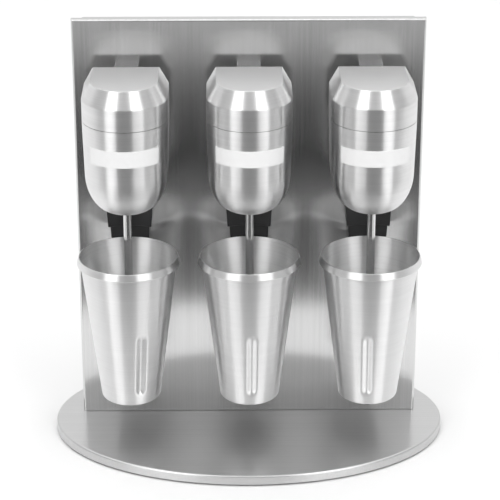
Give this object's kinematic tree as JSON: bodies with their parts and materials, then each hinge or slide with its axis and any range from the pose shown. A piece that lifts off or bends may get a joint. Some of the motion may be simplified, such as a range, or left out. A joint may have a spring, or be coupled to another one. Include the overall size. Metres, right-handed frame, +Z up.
{
  "type": "milkshake mixer",
  "caption": "Bar-top milkshake mixer: upright steel column on an oval base, motor heads with spindles that reach into tapered steel cups hung on black holders.",
  "frame": {"origin": "on the surface the mixer stands on, under the middle of the oval base", "axes": "+Z up; -Y faces the user, on the cups' side; +X to the user's right"},
  "size_m": [0.393, 0.263, 0.429],
  "materials": {
    "brushed_steel": "brushed",
    "brushed_panel": "vertical brushed grain",
    "head_steel": "fine turned satin",
    "neck_steel": "satin",
    "cup_steel": "fine turned satin",
    "polished_steel": "polished",
    "ballast_steel": "grey primer",
    "zinc_screw": "zinc plated",
    "foot_rubber": "matt",
    "black_plastic": "fine spark texture",
    "rocker_plastic": "gloss",
    "terminal_plastic": "moulded",
    "switch_plastic": "moulded",
    "fan_plastic": "moulded",
    "wire_sleeve": "sleeved",
    "label_white": "gloss film",
    "bush_bronze": "sintered",
    "bearing_steel": "ground",
    "brush_carbon": "sintered",
    "motor_iron": "laminated",
    "motor_frame_alloy": "die cast"
  },
  "bodies": {
    "stand": {"base_cover": "brushed_steel", "ballast_plate": "ballast_steel", "base_feet": "foot_rubber", "base_screws": "zinc_screw", "foot_brackets": "ballast_steel", "front_panel": "brushed_panel", "rear_cover": "brushed_panel", "cover_nuts": "zinc_screw", "bracket_screws": "zinc_screw", "cord_gland": "black_plastic", "rocker_frame": "black_plastic", "terminal_block": "terminal_plastic", "wiring_loom": "wire_sleeve", "head_labels": "label_white", "spindle_bushes": "bush_bronze", "motor_bearings": "bearing_steel", "motor_brushes": "brush_carbon", "head_cap_left": "head_steel", "head_housing_left": "head_steel", "head_neck_left": "neck_steel", "motor_frame_left": "motor_frame_alloy", "motor_stator_left": "motor_iron", "cup_holder_left": "black_plastic", "microswitch_left": "switch_plastic", "cup_rest_left": "neck_steel", "head_cap_middle": "head_steel", "head_housing_middle": "head_steel", "head_neck_middle": "neck_steel", "motor_frame_middle": "motor_frame_alloy", "motor_stator_middle": "motor_iron", "cup_holder_middle": "black_plastic", "microswitch_middle": "switch_plastic", "cup_rest_middle": "neck_steel", "head_cap_right": "head_steel", "head_housing_right": "head_steel", "head_neck_right": "neck_steel", "motor_frame_right": "motor_frame_alloy", "motor_stator_right": "motor_iron", "cup_holder_right": "black_plastic", "microswitch_right": "switch_plastic", "cup_rest_right": "neck_steel"},
    "drive_left": {"spindle_left": "polished_steel", "agitator_left": "polished_steel", "motor_armature_left": "motor_iron", "motor_fan_left": "fan_plastic"},
    "slider_left": {"cup_slider_left": "black_plastic"},
    "cup_left": {"cup_left": "cup_steel"},
    "drive_middle": {"spindle_middle": "polished_steel", "agitator_middle": "polished_steel", "motor_armature_middle": "motor_iron", "motor_fan_middle": "fan_plastic"},
    "slider_middle": {"cup_slider_middle": "black_plastic"},
    "cup_middle": {"cup_middle": "cup_steel"},
    "drive_right": {"spindle_right": "polished_steel", "agitator_right": "polished_steel", "motor_armature_right": "motor_iron", "motor_fan_right": "fan_plastic"},
    "slider_right": {"cup_slider_right": "black_plastic"},
    "cup_right": {"cup_right": "cup_steel"},
    "rocker": {"power_rocker": "rocker_plastic"}
  },
  "joints": [
    {"name": "spindle_spin_left", "type": "hinge", "parent": "stand", "child": "drive_left", "pos_m": [-0.117, -0.0535, 0.2], "axis": [0, 0, 1], "continuous": true},
    {"name": "spindle_spin_middle", "type": "hinge", "parent": "stand", "child": "drive_middle", "pos_m": [0, -0.0535, 0.2], "axis": [0, 0, 1], "continuous": true},
    {"name": "spindle_spin_right", "type": "hinge", "parent": "stand", "child": "drive_right", "pos_m": [0.117, -0.0535, 0.2], "axis": [0, 0, 1], "continuous": true},
    {"name": "cup_lift_left", "type": "slide", "parent": "stand", "child": "slider_left", "axis": [0, 0, 1], "range_m": [0, 0.005], "stiffness_N_per_m": 300, "springref_m": -0.008},
    {"name": "cup_lift_middle", "type": "slide", "parent": "stand", "child": "slider_middle", "axis": [0, 0, 1], "range_m": [0, 0.005], "stiffness_N_per_m": 300, "springref_m": -0.008},
    {"name": "cup_lift_right", "type": "slide", "parent": "stand", "child": "slider_right", "axis": [0, 0, 1], "range_m": [0, 0.005], "stiffness_N_per_m": 300, "springref_m": -0.008},
    {"name": "cup_swing_left", "type": "hinge", "parent": "slider_left", "child": "cup_left", "pos_m": [-0.117, -0.0053, 0.2075], "axis": [-1, 0, 0], "range_deg": [0, 5]},
    {"name": "cup_swing_middle", "type": "hinge", "parent": "slider_middle", "child": "cup_middle", "pos_m": [0, -0.0053, 0.2075], "axis": [-1, 0, 0], "range_deg": [0, 5]},
    {"name": "cup_swing_right", "type": "hinge", "parent": "slider_right", "child": "cup_right", "pos_m": [0.117, -0.0053, 0.2075], "axis": [-1, 0, 0], "range_deg": [0, 5]},
    {"name": "rocker_press", "type": "hinge", "parent": "stand", "child": "rocker", "pos_m": [0.11, 0.0405, 0.062], "axis": [-1, 0, 0], "range_deg": [0, 16]}
  ]
}
